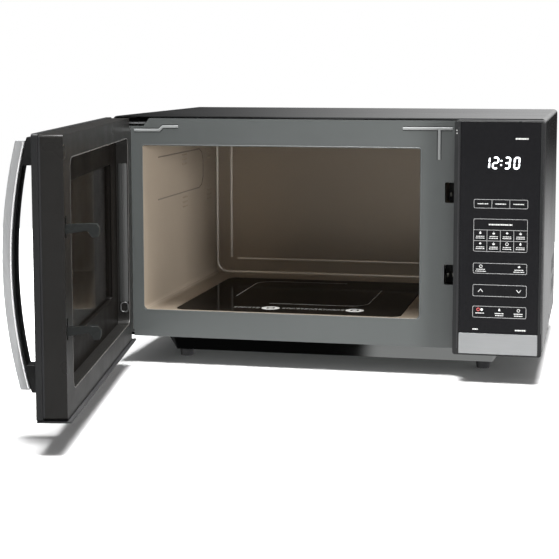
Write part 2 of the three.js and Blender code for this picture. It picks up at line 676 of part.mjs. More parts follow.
function handleGrip() {
  const face = DOOR_FRONT - GAP;
  const low = HANDLE_Z0 - HANDLE_CAP;
  const high = HANDLE_Z1 + HANDLE_CAP;
  const outline = polygon([
    ...bowLine(low, high, HANDLE_TRIM + GAP),
    [face, high], [face, high - POST_H],
    ...bowLine(high - POST_H, low + POST_H, HANDLE_BAR, 14),
    [face, low + POST_H], [face, low],
  ]);
  return alongX(outline, HANDLE_X - HANDLE_W / 2 + 1, HANDLE_X + HANDLE_W / 2 - 1);
}

function latchBar() {
  const root = DOOR_BACK - 6;
  const hook = (top) => polygon([
    [root - 2, top - 9], [DOOR_BACK + 2, top - 9], [DOOR_BACK + 20, top - 6], [DOOR_BACK + 25, top - 12.5],
    [DOOR_BACK + 30, top - 12], [DOOR_BACK + 31.5, top - 8.5], [DOOR_BACK + 31.5, top - 3.5],
    [DOOR_BACK + 29, top], [DOOR_BACK + 22, top + 0.5], [root - 2, top - 1],
  ]);
  const bar = block(HOOK_X0, HOOK_X0 + HOOK_T, root - 6, root, LATCH_FOOT, HOOK_Z.upper + 14);
  const hooks = Object.values(HOOK_Z).map((top) => alongX(hook(top), HOOK_X0, HOOK_X0 + HOOK_T));
  return shapeOf([bar, ...hooks]);
}

// A tension spring from the bar's foot down to the seat in the cover
function latchSpring() {
  const steps = SPRING.turns * 10;
  const middle = { x: HOOK_X0 + HOOK_T / 2, y: DOOR_BACK - 9 };
  const points = [];
  for (let step = 0; step <= steps; step += 1) {
    const angle = step / 10 * 2 * Math.PI;
    const z = SPRING_TOP - SPRING.length * step / steps;
    points.push(new THREE.Vector3(
      middle.x + SPRING.r * Math.cos(angle), middle.y + SPRING.r * Math.sin(angle), z));
  }
  const path = new THREE.CatmullRomCurve3(points);
  return new THREE.ExtrudeGeometry(disc(0, 0, SPRING.wire), { extrudePath: path, steps, curveSegments: 2 });
}

// ---------------------------------------------------------------- hinges

function hingeBracket(z0) {
  const arm = new THREE.Shape();
  const neckAngle = Math.asin(ARM_NECK / ARM_R);
  arm.absarc(HINGE_X, HINGE_Y, ARM_R, Math.PI / 2 + neckAngle, 2.5 * Math.PI - neckAngle);
  arm.lineTo(HINGE_X + ARM_NECK, -1).lineTo(HINGE_X + 34, 8).lineTo(HINGE_X + 34, 34);
  arm.lineTo(HINGE_X - ARM_NECK, 34).closePath();
  arm.holes.push(disc(HINGE_X, HINGE_Y, PIN_R + 0.4, THREE.Path));
  return alongZ(arm, z0, z0 + 2, 6);
}

function hingePin([z0, z1]) {
  return rodZ(z0, z1, 0, 0, PIN_R, 6);
}

// ---------------------------------------------------------------- assembly

const root = new THREE.Group();
root.position.set(OFFSET_X, OFFSET_Y, 0);

add(root, 'outer_cabinet', outerCabinet(), FINISH.wrapper);
add(root, 'rear_panel', rearPanel(), FINISH.zinc);
add(root, 'base_plate', basePlate(), FINISH.wrapper);
add(root, 'front_plate', frontPlate(), FINISH.facePaint);
add(root, 'cord_gland', cordGland(), FINISH.blackPlastic);

for (const [end, y] of Object.entries(FOOT_Y)) {
  for (const [side, x] of [['left', -FOOT_X], ['right', FOOT_X]]) {
    add(root, `foot_${end}_${side}`, foot(), FINISH.rubber).position.set(x, y, 0);
  }
}
[[-240, 40], [240, 40], [-240, 286], [240, 286]].forEach(([x, z], index) => {
  add(root, `rear_screw_${index + 1}`, rearScrew(), FINISH.steel).position.set(x, 0, z);
});

add(root, 'cavity_liner', cavityLiner(), FINISH.cavityPaint);
add(root, 'ceramic_floor', ceramicFloor(), FINISH.ceramic);
add(root, 'waveguide', waveguide(), FINISH.zinc);
add(root, 'stirrer_antenna', stirrerAntenna(), FINISH.aluminium).position.set(CERAMIC_X, STIRRER_Y, 0);
add(root, 'stirrer_motor', stirrerMotor(), FINISH.ferrite).position.set(CERAMIC_X, STIRRER_Y, 0);

add(root, 'magnetron_yoke', magnetronYoke(), FINISH.zinc);
add(root, 'magnetron_fins', magnetronFins(), FINISH.aluminium);
add(root, 'magnetron_dome', magnetronDome(), FINISH.steel);
add(root, 'thermal_cutout', rodZ(124.4, 130, MAGNETRON_X + 20, STIRRER_Y, 8, 6), FINISH.blackPlastic);
add(root, 'inverter_board', block(124, 250, 222, 318, BOARD_Z, BOARD_Z + 1.6), FINISH.board);
add(root, 'inverter_transformer', inverterTransformer(), FINISH.ferrite);
add(root, 'inverter_heatsink', inverterHeatsink(), FINISH.aluminium);
add(root, 'filter_board', filterBoard(), FINISH.board);
add(root, 'fan_frame', fanFrame(), FINISH.blackPlastic);
add(root, 'fan_motor', rodY(FAN.y0 + 7, FAN.y1 - 3.4, FAN.x, FAN.z, 14.8, 8), FINISH.ferrite);
add(root, 'fan_wheel', fanWheel(), FINISH.palePlastic).position.set(FAN.x, FAN.y0 + 3, FAN.z);
add(root, 'air_duct', airDuct(), FINISH.palePlastic);
add(root, 'lamp_socket', rodX(138, 156, 272, 236, 11, 6), FINISH.palePlastic);
add(root, 'lamp_bulb', new THREE.SphereGeometry(9, 16, 12).translate(128.5, 272, 236), FINISH.lampGlass);

add(root, 'latch_board', latchBoard(), FINISH.blackPlastic);
for (const item of SWITCHES) {
  add(root, `switch_${item.name}`, switchBody(item), FINISH.blackPlastic);
  add(root, `plunger_${item.name}`, plunger(item), FINISH.palePlastic);
}

add(root, 'control_housing', controlHousing(), FINISH.blackPlastic);
add(root, 'control_glass', controlGlass(), FINISH.blackGlass);
add(root, 'panel_trim', panelTrim(), FINISH.silver);
add(root, 'display_module', displayModule(), FINISH.blackPlastic);
add(root, 'control_board', controlBoard(), FINISH.board);

add(root, 'hinge_bracket_upper', hingeBracket(290.5), FINISH.steel);
add(root, 'hinge_bracket_lower', hingeBracket(37.5), FINISH.steel);

const door = new THREE.Group();
door.position.set(HINGE_X, HINGE_Y, 0);
door.rotation.z = -THREE.MathUtils.degToRad(DOOR_OPEN);
root.add(door);

add(door, 'door_bezel', doorBezel(), FINISH.darkPlastic);
add(door, 'door_glass', doorGlass(), FINISH.blackGlass);
add(door, 'door_trim', doorTrim(), FINISH.silver);
add(door, 'choke_cover', chokeCover(), FINISH.darkPlastic);
add(door, 'door_frame', doorFrame(), FINISH.framePaint);
add(door, 'door_mesh', doorMesh(), FINISH.blackPlastic);
add(door, 'inner_window', innerWindow(), FINISH.clearGlass);
add(door, 'handle_trim', handleTrim(), FINISH.silver);
add(door, 'handle_grip', handleGrip(), FINISH.darkPlastic);
add(door, 'latch_bar', latchBar(), FINISH.darkPlastic);
add(door, 'latch_spring', latchSpring(), FINISH.steel);
add(door, 'hinge_pin_upper', hingePin(PIN_Z.upper), FINISH.steel);
add(door, 'hinge_pin_lower', hingePin(PIN_Z.lower), FINISH.steel);

export default root;
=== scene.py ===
import json
import math

import bmesh
import bpy
from mathutils import Matrix, Vector


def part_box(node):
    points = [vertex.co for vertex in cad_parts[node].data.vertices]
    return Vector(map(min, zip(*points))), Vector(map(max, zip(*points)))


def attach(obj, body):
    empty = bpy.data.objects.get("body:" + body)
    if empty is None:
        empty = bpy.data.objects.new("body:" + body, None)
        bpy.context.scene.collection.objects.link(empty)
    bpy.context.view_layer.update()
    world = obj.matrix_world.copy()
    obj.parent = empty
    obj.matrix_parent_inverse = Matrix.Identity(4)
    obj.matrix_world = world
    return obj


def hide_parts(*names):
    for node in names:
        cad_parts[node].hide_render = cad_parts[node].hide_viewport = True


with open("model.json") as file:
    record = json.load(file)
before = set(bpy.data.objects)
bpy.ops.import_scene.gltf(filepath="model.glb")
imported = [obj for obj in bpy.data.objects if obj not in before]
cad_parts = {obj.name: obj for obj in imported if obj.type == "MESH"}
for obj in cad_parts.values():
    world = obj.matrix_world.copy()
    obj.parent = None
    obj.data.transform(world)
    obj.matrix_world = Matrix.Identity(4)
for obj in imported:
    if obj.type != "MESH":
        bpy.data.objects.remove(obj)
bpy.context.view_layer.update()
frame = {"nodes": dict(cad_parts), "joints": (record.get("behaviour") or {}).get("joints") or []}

# Lengths are millimetres. Body points start from the middle of the casing, the front plate's face
# and the floor. Door points start from the hinge axis with the door shut, and DOOR turns them open.
MM = 0.001
LINER_SHEET = 1.2
casing_lo, casing_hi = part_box("outer_cabinet")
liner_lo, liner_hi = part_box("cavity_liner")
hinge = next(joint for joint in frame["joints"] if joint["name"] == "door_hinge")
BODY = Matrix.Translation(((casing_lo.x + casing_hi.x) / 2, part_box("front_plate")[0].y, 0))
DOOR = (Matrix.Translation((hinge["pos_m"][0], hinge["pos_m"][1], 0))
        @ Matrix.Rotation(-math.radians(hinge["range_deg"][1]), 4, "Z"))

LEFT = (casing_lo.x - BODY.translation.x) / MM
RIGHT = -LEFT
TOP = casing_hi.z / MM
CASING_FOOT = casing_lo.z / MM
FACE = (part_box("control_glass")[0].y - BODY.translation.y) / MM  # face of the control column
REAR = (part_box("rear_panel")[1].y - BODY.translation.y) / MM
CERAMIC_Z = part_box("ceramic_floor")[1].z / MM
CAVITY_BACK = (liner_hi.y - BODY.translation.y) / MM - LINER_SHEET
CAVITY_TOP = liner_hi.z / MM - LINER_SHEET
WALL_LEFT = (liner_lo.x - BODY.translation.x) / MM + LINER_SHEET
WALL_RIGHT = (liner_hi.x - BODY.translation.x) / MM - LINER_SHEET


# ---------------------------------------------------------------- node materials

class Surface:
    """A Principled material and the texture nodes that feed it."""

    def __init__(self, name, metallic=0.0, ior=1.5):
        self.material = bpy.data.materials.new(name)
        self.material.use_nodes = True
        self.nodes = self.material.node_tree.nodes
        self.links = self.material.node_tree.links
        self.shader = self.nodes["Principled BSDF"]
        self.set("Metallic", metallic)
        self.set("IOR", ior)
        self.coordinates = self.nodes.new("ShaderNodeTexCoord").outputs["Object"]

    def set(self, socket, value):
        self.shader.inputs[socket].default_value = value

    def stretched(self, scale):
        mapping = self.nodes.new("ShaderNodeMapping")
        mapping.inputs["Scale"].default_value = scale
        self.links.new(self.coordinates, mapping.inputs["Vector"])
        return mapping.outputs["Vector"]

    def noise(self, scale, detail=3.0, stretch=(1, 1, 1)):
        texture = self.nodes.new("ShaderNodeTexNoise")
        texture.inputs["Scale"].default_value = scale
        texture.inputs["Detail"].default_value = detail
        texture.inputs["Roughness"].default_value = 0.55
        self.links.new(self.stretched(stretch), texture.inputs["Vector"])
        return texture.outputs["Fac"]

    def between(self, value, low, high, start=0.3, end=0.7):
        node = self.nodes.new("ShaderNodeMapRange")
        for socket, number in zip(("From Min", "From Max", "To Min", "To Max"), (start, end, low, high)):
            node.inputs[socket].default_value = number
        self.links.new(value, node.inputs["Value"])
        return node.outputs["Result"]

    def colours(self, value, stops):
        node = self.nodes.new("ShaderNodeValToRGB")
        elements = node.color_ramp.elements
        while len(elements) < len(stops):
            elements.new(0.5)
        for element, (position, colour) in zip(elements, stops):
            element.position = position
            element.color = (*colour, 1)
        self.links.new(value, node.inputs["Fac"])
        return node.outputs["Color"]

    def math(self, operation, a, b=0.0):
        node = self.nodes.new("ShaderNodeMath")
        node.operation = operation
        for socket, value in zip(node.inputs, (a, b)):
            if isinstance(value, (int, float)):
                socket.default_value = value
            else:
                self.links.new(value, socket)
        return node.outputs["Value"]

    def bump(self, height, strength, distance):
        node = self.nodes.new("ShaderNodeBump")
        node.inputs["Strength"].default_value = strength
        node.inputs["Distance"].default_value = distance
        self.links.new(height, node.inputs["Height"])
        self.links.new(node.outputs["Normal"], self.shader.inputs["Normal"])

    def feed(self, socket, value):
        self.links.new(value, self.shader.inputs[socket])


GRAIN_DEPTH = 0.2 * MM


def finish(name, dark, light, rough, patch=9.0, grain=900.0, relief=0.15, stretch=(1, 1, 1), **gloss):
    """A finish with slow colour change, uneven gloss and a fine grain that stands in relief. The
    colour runs from dark to light and the roughness over the two numbers of rough. patch and grain
    are the scales of the slow and the fine noise."""
    surface = Surface(name, **gloss)
    slow = surface.noise(patch, 4.0)
    fine = surface.noise(grain, 2.0, stretch)
    mixed = surface.math("ADD", surface.math("MULTIPLY", slow, 0.6), surface.math("MULTIPLY", fine, 0.4))
    surface.feed("Base Color", surface.colours(mixed, [(0.36, dark), (0.64, light)]))
    surface.feed("Roughness", surface.between(surface.noise(patch * 3, 3.0), *rough))
    surface.bump(fine, relief, GRAIN_DEPTH)
    return surface


# Stretches that draw the grain out along one direction
ALONG_Y = (1, 0.012, 1)
ALONG_X = (0.012, 1, 1)
ALONG_Z = (1, 1, 0.012)

wrapper_steel = finish("wrapper steel", (0.125, 0.127, 0.130), (0.145, 0.147, 0.150), (0.15, 0.20),
                       patch=3, grain=3500, relief=0.012, stretch=ALONG_Y, metallic=1.0)
face_paint = finish("face paint", (0.062, 0.067, 0.066), (0.070, 0.075, 0.074), (0.34, 0.42),
                    patch=4, grain=3200, relief=0.02, metallic=0.25)
plate_bead_highlight_paint = finish("plate bead painted highlight", (0.15, 0.156, 0.155), (0.17, 0.176, 0.175), (0.40, 0.48), patch=4,
                    grain=3200, relief=0.015)
bead_shadow_paint = finish("painted bead shadow", (0.010, 0.011, 0.011), (0.014, 0.015, 0.015), (0.55, 0.65),
                      patch=4, grain=3200, relief=0.02)
frame_paint = finish("door frame paint", (0.0040, 0.0036, 0.0032), (0.006, 0.0052, 0.0046), (0.34, 0.44),
                     grain=3000, relief=0.03, ior=1.14)
cavity_paint = finish("cavity enamel", (0.300, 0.250, 0.195), (0.335, 0.280, 0.220), (0.28, 0.36),
                      patch=3, grain=3400, relief=0.012, metallic=0.45)
cavity_bead_highlight_enamel = finish("cavity bead enamel painted highlight", (0.86, 0.79, 0.70), (0.92, 0.86, 0.78), (0.16, 0.22),
                     patch=3, grain=3400, relief=0.01, metallic=0.5)
outline_shade_enamel = finish("outline painted shade", (0.10, 0.085, 0.07), (0.13, 0.11, 0.09), (0.3, 0.4), patch=3,
                        grain=3400, relief=0.01)
pan_steel = finish("pan steel", (0.17, 0.178, 0.174), (0.20, 0.208, 0.204), (0.04, 0.07), patch=3,
                   grain=3400, relief=0.004, stretch=ALONG_X, metallic=1.0)
zinc = finish("zinc sheet", (0.30, 0.31, 0.32), (0.38, 0.39, 0.40), (0.36, 0.5), patch=26, grain=1800,
              relief=0.03, metallic=0.9)
panel_glass = finish("panel glass", (0.0055, 0.0055, 0.006), (0.007, 0.007, 0.0075), (0.04, 0.08),
                     patch=6, grain=300, relief=0.002, ior=1.11)
door_glass = finish("door glass", (0.0055, 0.0055, 0.006), (0.0075, 0.0075, 0.008), (0.03, 0.06),
                    patch=6, grain=300, relief=0.002, ior=1.33)
ceramic = finish("black ceramic", (0.0035, 0.0030, 0.0026), (0.0050, 0.0044, 0.0038), (0.06, 0.10),
                 patch=7, grain=3000, relief=0.003, ior=1.045)
bezel_plastic = finish("bezel plastic", (0.0095, 0.0097, 0.010), (0.012, 0.0123, 0.0126), (0.36, 0.44),
                       grain=3200, relief=0.03, ior=1.25)
cover_plastic = finish("cover plastic", (0.0078, 0.0075, 0.0070), (0.0105, 0.010, 0.0095), (0.27, 0.35),
                       grain=3200, relief=0.03, ior=1.25)
hook_plastic = finish("hook plastic", (0.0065, 0.0072, 0.0070), (0.010, 0.011, 0.0105), (0.24, 0.32),
                      grain=2600, relief=0.04, ior=1.3)
housing_plastic = finish("housing plastic", (0.010, 0.0102, 0.0105), (0.013, 0.0133, 0.0136),
                         (0.28, 0.38), grain=3200, relief=0.03, ior=1.25)
pale_plastic = finish("pale plastic", (0.60, 0.58, 0.52), (0.70, 0.68, 0.61), (0.42, 0.55), relief=0.1)
black_plastic = finish("black plastic", (0.008, 0.008, 0.009), (0.013, 0.013, 0.014), (0.40, 0.55),
                       grain=2200, relief=0.05)
silver = finish("satin silver", (0.225, 0.23, 0.232), (0.26, 0.265, 0.268), (0.32, 0.40), patch=4,
                grain=3400, relief=0.012, stretch=ALONG_X, metallic=0.55)
handle_silver = finish("handle silver", (0.38, 0.385, 0.39), (0.43, 0.435, 0.44), (0.30, 0.38), patch=4,
                       grain=3400, relief=0.012, stretch=ALONG_Z, metallic=0.5)
strip_metal = finish("satin strip", (0.085, 0.086, 0.085), (0.10, 0.101, 0.100), (0.3, 0.38), patch=5,
                     grain=3000, relief=0.02, stretch=ALONG_Z, metallic=0.6)
strip_painted_shade = finish("satin strip painted shade", (0.040, 0.041, 0.040), (0.05, 0.051, 0.050), (0.3, 0.38),
                    patch=5, grain=3000, relief=0.02, stretch=ALONG_Z, metallic=0.6)
rim_highlight = finish("rim painted highlight", (0.055, 0.053, 0.05), (0.07, 0.068, 0.065), (0.22, 0.3), patch=5,
                  relief=0.02, metallic=0.3)
column_edge_highlight_paint = finish("column edge painted highlight", (0.16, 0.16, 0.16), (0.20, 0.20, 0.20), (0.24, 0.32),
                   relief=0.01, metallic=0.8)
edge_highlight_paint = finish("painted edge highlight", (0.80, 0.80, 0.80), (0.88, 0.88, 0.88), (0.24, 0.3), relief=0.01,
                     metallic=0.25)
steel = finish("bright steel", (0.42, 0.43, 0.44), (0.52, 0.53, 0.54), (0.24, 0.34), grain=2400,
               relief=0.02, metallic=1.0)
aluminium = finish("mill aluminium", (0.56, 0.57, 0.58), (0.66, 0.67, 0.68), (0.3, 0.42), grain=2400,
                   relief=0.03, stretch=ALONG_Z, metallic=1.0)
ferrite = finish("ferrite", (0.035, 0.036, 0.037), (0.06, 0.06, 0.062), (0.6, 0.8), relief=0.3)
board_green = finish("board lacquer", (0.015, 0.07, 0.026), (0.03, 0.12, 0.05), (0.3, 0.45), patch=60,
                     grain=700, relief=0.2)
rubber = finish("rubber", (0.006, 0.006, 0.007), (0.010, 0.010, 0.011), (0.5, 0.7), grain=1800,
                relief=0.12)
print_grey = finish("printed grey", (0.30, 0.30, 0.29), (0.36, 0.36, 0.35), (0.5, 0.6), relief=0.02)
print_bright = finish("printed bright", (0.66, 0.66, 0.64), (0.74, 0.74, 0.72), (0.5, 0.6), relief=0.02)
print_line = finish("printed line", (0.20, 0.20, 0.20), (0.25, 0.25, 0.25), (0.5, 0.6), relief=0.02)
print_white = finish("printed white", (0.40, 0.40, 0.40), (0.47, 0.47, 0.46), (0.5, 0.6), relief=0.02)
print_red = finish("printed red", (0.26, 0.035, 0.035), (0.33, 0.05, 0.05), (0.5, 0.6), relief=0.02)

clear_glass = Surface("inner window glass", ior=1.4)
clear_glass.set("Alpha", 0.4)
clear_glass.feed("Base Color", clear_glass.colours(clear_glass.noise(8), [
    (0.3, (0.004, 0.0036, 0.003)), (0.7, (0.006, 0.0052, 0.0045))]))
clear_glass.feed("Roughness", clear_glass.between(clear_glass.noise(25), 0.03, 0.07))

lamp_glass = Surface("lamp glass", ior=1.45)
lamp_glass.set("Transmission Weight", 0.8)
lamp_glass.set("Emission Color", (1.0, 0.82, 0.6, 1))
lamp_glass.set("Emission Strength", 0.5)
lamp_glass.feed("Roughness", lamp_glass.between(lamp_glass.noise(120), 0.05, 0.15))

digit_light = Surface("digit light")
digit_light.set("Emission Strength", 1.6)
digit_light.feed("Base Color", digit_light.colours(digit_light.noise(400), [
    (0.3, (0.86, 0.92, 1.0)), (0.7, (1.0, 1.0, 1.0))]))
digit_light.set("Emission Color", (0.93, 0.97, 1.0, 1))


def perforated_screen():
    """Black enamelled sheet with staggered round holes, drawn in the door's own plane."""
    surface = Surface("perforated screen", metallic=0.5)
    pitch = 2.1 * MM
    far = 100  # whole holes added so that no cell number is negative
    turned = surface.nodes.new("ShaderNodeVectorRotate")
    turned.rotation_type = "Z_AXIS"
    turned.inputs["Angle"].default_value = math.radians(hinge["range_deg"][1])
    surface.links.new(surface.coordinates, turned.inputs["Vector"])
    parts = surface.nodes.new("ShaderNodeSeparateXYZ")
    surface.links.new(turned.outputs["Vector"], parts.inputs["Vector"])

    def dots(shift):
        squares = []
        for axis, step in (("X", pitch), ("Z", pitch * math.sqrt(3))):
            place = surface.math("DIVIDE", parts.outputs[axis], step)
            cell = surface.math("FRACT", surface.math("ADD", place, far + shift))
            offset = surface.math("MULTIPLY", surface.math("SUBTRACT", cell, 0.5), step / pitch)
            squares.append(surface.math("POWER", surface.math("ABSOLUTE", offset), 2.0))
        return surface.math("SQRT", surface.math("ADD", *squares))

    nearest = surface.math("MINIMUM", dots(0.0), dots(0.5))
    edge = surface.between(nearest, 0.0, 1.0, 0.30, 0.38)
    surface.feed("Base Color", surface.colours(edge, [
        (0.0, (0.002, 0.002, 0.002)), (1.0, (0.060, 0.051, 0.041))]))
    surface.feed("Roughness", surface.between(surface.noise(40), 0.3, 0.42))
    surface.bump(edge, 0.5, 0.0003)
    return surface


screen_paint = perforated_screen()

NODE_FINISH = {
    wrapper_steel: ["outer_cabinet"],
    pan_steel: ["base_plate"],
    face_paint: ["front_plate"],
    frame_paint: ["door_frame"],
    cavity_paint: ["cavity_liner"],
    zinc: ["rear_panel", "waveguide", "magnetron_yoke"],
    panel_glass: ["control_glass"],
    door_glass: ["door_glass"],
    clear_glass: ["inner_window"],
    ceramic: ["ceramic_floor"],
    bezel_plastic: ["door_bezel"],
    cover_plastic: ["choke_cover"],
    hook_plastic: ["latch_bar"],
    housing_plastic: ["control_housing"],
    black_plastic: ["latch_board", "display_module", "cord_gland", "fan_frame", "switch_primary",
                    "switch_secondary", "switch_monitor", "thermal_cutout"],
    pale_plastic: ["air_duct", "lamp_socket", "fan_wheel", "plunger_primary",
                   "plunger_secondary", "plunger_monitor"],
    silver: ["panel_trim", "door_trim"],
    steel: ["hinge_bracket_upper", "hinge_bracket_lower", "hinge_pin_upper", "hinge_pin_lower",
            "rear_screw_1", "rear_screw_2", "rear_screw_3", "rear_screw_4", "latch_spring",
            "magnetron_dome"],
    screen_paint: ["door_mesh"],
    aluminium: ["magnetron_fins", "inverter_heatsink", "stirrer_antenna"],
    ferrite: ["stirrer_motor", "inverter_transformer", "fan_motor"],
    board_green: ["inverter_board", "filter_board", "control_board"],
    rubber: ["foot_front_left", "foot_front_right", "foot_rear_left", "foot_rear_right"],
    lamp_glass: ["lamp_bulb"],
}

ROUNDED = {  # edge radius in millimetres
    "outer_cabinet": 0.35, "front_plate": 0.3, "door_bezel": 0.9, "choke_cover": 0.9, "door_frame": 0.5,
    "control_housing": 0.9, "control_glass": 0.3, "panel_trim": 0.5, "door_glass": 0.3, "door_trim": 0.5,
    "latch_bar": 0.7, "cavity_liner": 0.3, "ceramic_floor": 0.6, "rear_panel": 0.2, "base_plate": 0.4,
    "inner_window": 0.3,
}
SHARP = 40  # degrees between two faces at which their edge counts as one


def smooth_by_angle(mesh, degrees):
    """Smooth shading with sharp edges kept where faces meet at more than this angle."""
    mesh.shade_smooth()
    work = bmesh.new()
    work.from_mesh(mesh)
    for edge in work.edges:
        edge.smooth = edge.calc_face_angle(math.pi) < math.radians(degrees)
    work.to_mesh(mesh)
    work.free()


for surface, names in NODE_FINISH.items():
    for name in names:
        node = frame["nodes"][name]
        node.data.materials.clear()
        node.data.materials.append(surface.material)
        weld = node.modifiers.new("weld", "WELD")
        weld.merge_threshold = 0.01 * MM
        if name in ROUNDED:
            bevel = node.modifiers.new("rounded edges", "BEVEL")
            bevel.width = ROUNDED[name] * MM
            bevel.segments = 2
            bevel.limit_method = "ANGLE"
            bevel.angle_limit = math.radians(SHARP)


# ---------------------------------------------------------------- mesh building

def rounded(x0, x1, z0, z1, radius, steps=6):
    """A rectangle with round corners, as points in order."""
    points = []
    for cx, cz, start in ((x1 - radius, z0 + radius, -90), (x1 - radius, z1 - radius, 0),
                          (x0 + radius, z1 - radius, 90), (x0 + radius, z0 + radius, 180)):
        for step in range(steps + 1):
            angle = math.radians(start + 90 * step / steps)
            points.append((cx + radius * math.cos(angle), cz + radius * math.sin(angle)))
    return points


def circle(x, z, radius, steps=24):
    turn = 2 * math.pi / steps
    return [(x + radius * math.cos(turn * i), z + radius * math.sin(turn * i)) for i in range(steps)]


def half_round(width, height, steps=8):
    """Section of a pressed bead: a flat foot and an arched top."""
    arc = [(width / 2 * math.cos(math.pi * i / steps), height * math.sin(math.pi * i / steps))
           for i in range(steps + 1)]
    sunk = -0.15  # the foot goes a little way into the sheet
    return [(width / 2, sunk), *arc, (-width / 2, sunk)]


def flat(width, height):
    """Section of a printed line or of a strip of painted shadow."""
    return [(width / 2, 0), (width / 2, height), (-width / 2, height), (-width / 2, 0)]


def sweep(mesh, path, section, normal, closed=False):
    """Runs a section along a path that lies in the plane of that normal. The section's first number
    goes across the path and its second along the normal."""
    path = [Vector(point) for point in path]
    normal = Vector(normal)
    count = len(path)
    rings = []
    for index, point in enumerate(path):
        before = path[index - 1] if closed or index else point
        after = path[(index + 1) % count] if closed or index < count - 1 else point
        first = (point - before).normalized() if point != before else (after - point).normalized()
        second = (after - point).normalized() if after != point else first
        across = (first + second).normalized().cross(normal)
        stretch = 1 / max(0.35, first.cross(normal).dot(across))  # keeps its width round a bend
        rings.append([mesh.verts.new(point + across * (s * stretch) + normal * h) for s, h in section])
    for index in range(count if closed else count - 1):
        ring, following = rings[index], rings[(index + 1) % count]
        for i in range(len(section)):
            j = (i + 1) % len(section)
            mesh.faces.new((ring[i], ring[j], following[j], following[i]))
    if not closed:
        mesh.faces.new(rings[0])
        mesh.faces.new(list(reversed(rings[-1])))


def slab(mesh, outline, low, high, axis="y"):
    """Extrudes an outline along an axis."""
    def at(u, v, w):
        return {"x": (w, u, v), "y": (u, w, v), "z": (u, v, w)}[axis]
    lower = [mesh.verts.new(at(u, v, low)) for u, v in outline]
    upper = [mesh.verts.new(at(u, v, high)) for u, v in outline]
    mesh.faces.new(lower)
    mesh.faces.new(list(reversed(upper)))
    for i in range(len(outline)):
        j = (i + 1) % len(outline)
        mesh.faces.new((lower[i], upper[i], upper[j], lower[j]))


def piece(name, mesh, surface, body, space=BODY, sharp=SHARP, bevel=0.0):
    """Makes a mesh in millimetres into a named object that rides a body. bevel rounds its edges."""
    bmesh.ops.recalc_face_normals(mesh, faces=mesh.faces)
    if bevel:
        edges = [e for e in mesh.edges if e.calc_face_angle(0) > math.radians(sharp)]
        bmesh.ops.bevel(mesh, geom=edges, offset=bevel, segments=2, affect="EDGES", profile=0.5)
    bmesh.ops.transform(mesh, matrix=space @ Matrix.Scale(MM, 4), verts=mesh.verts)
    data = bpy.data.meshes.new(name)
    mesh.to_mesh(data)
    mesh.free()
    smooth_by_angle(data, sharp)
    data.materials.append(surface.material)
    thing = bpy.data.objects.new(name, data)
    bpy.context.scene.collection.objects.link(thing)
    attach(thing, body)
    return thing


# ---------------------------------------------------------------- casing and front plate

FRONT, BEHIND = (0, -1, 0), (0, 1, 0)
UP = (0, 0, 1)
PRINT = 0.05  # thickness of a printed mark


def on_plate(points):
    """Points given from the casing's left side and top, on the front plate's face."""
    return [(LEFT + x, 0, TOP - down) for x, down in points]


BEAD_LINES = [[(26.7, 16.9), (57.9, 16.6), (62.4, 12.4), (81.3, 12.3)], [(350.4, 12), (407.4, 12)],
              [(392.4, 12.6), (392.4, 47.5)]]
beads, bead_shadow_strips = bmesh.new(), bmesh.new()
for bead_line in BEAD_LINES:
    sweep(bead_shadow_strips, on_plate(bead_line), flat(5.4, 0.08), FRONT)
    sweep(beads, on_plate(bead_line), half_round(3.2, 0.65), FRONT)
# The beads' paint is lighter than the plate's, as a painted highlight
piece("plate_beads", beads, plate_bead_highlight_paint, "cabinet")
# A wider dark strip under each bead: painted shadow along its sides
piece("plate_bead_painted_shadow", bead_shadow_strips, bead_shadow_paint, "cabinet")

# Rolled edge round the cavity mouth
mouth = bmesh.new()
mouth_outline = rounded(LEFT + 36, 115, 66, 265.7, 3)
sweep(mouth, [(x, 0.2, z) for x, z in mouth_outline], half_round(1.6, 0.5), FRONT, closed=True)
piece("mouth_edge", mouth, face_paint, "cabinet")

# Hem along the wrapper's front edge
hem = bmesh.new()
HEM_Y, HEM_BEND, HEM_IN = 2.2, 5, 0.7
QUARTER_TURN = [math.radians(degrees) for degrees in range(15, 91, 15)]
hem_path = [(RIGHT - HEM_IN, HEM_Y, CASING_FOOT + 1.5), (RIGHT - HEM_IN, HEM_Y, TOP - HEM_BEND)]
hem_path += [(RIGHT - HEM_IN - HEM_BEND * (1 - math.cos(a)), HEM_Y,
              TOP - HEM_IN - HEM_BEND * (1 - math.sin(a))) for a in QUARTER_TURN]
hem_path += [(-x, y, z) for x, y, z in reversed(hem_path)]
sweep(hem, hem_path, [(0.65, -0.6), (0.65, 0.35), (-0.65, 0.35), (-0.65, -0.6)], FRONT)
piece("wrapper_hem", hem, wrapper_steel, "cabinet", bevel=0.2)

# Stiffening beads pressed into the rear panel
ribs = bmesh.new()
rib_frame = [(x, REAR, z) for x, z in rounded(-196, 96, 78, 214, 14, 6)]
sweep(ribs, rib_frame, half_round(7, 1.2), BEHIND, closed=True)
for x in (-128, -50, 28):
    sweep(ribs, [(x, REAR, 96), (x, REAR, 196)], half_round(7, 1.2), BEHIND)
piece("rear_ribs", ribs, zinc, "cabinet")

# ---------------------------------------------------------------- cavity

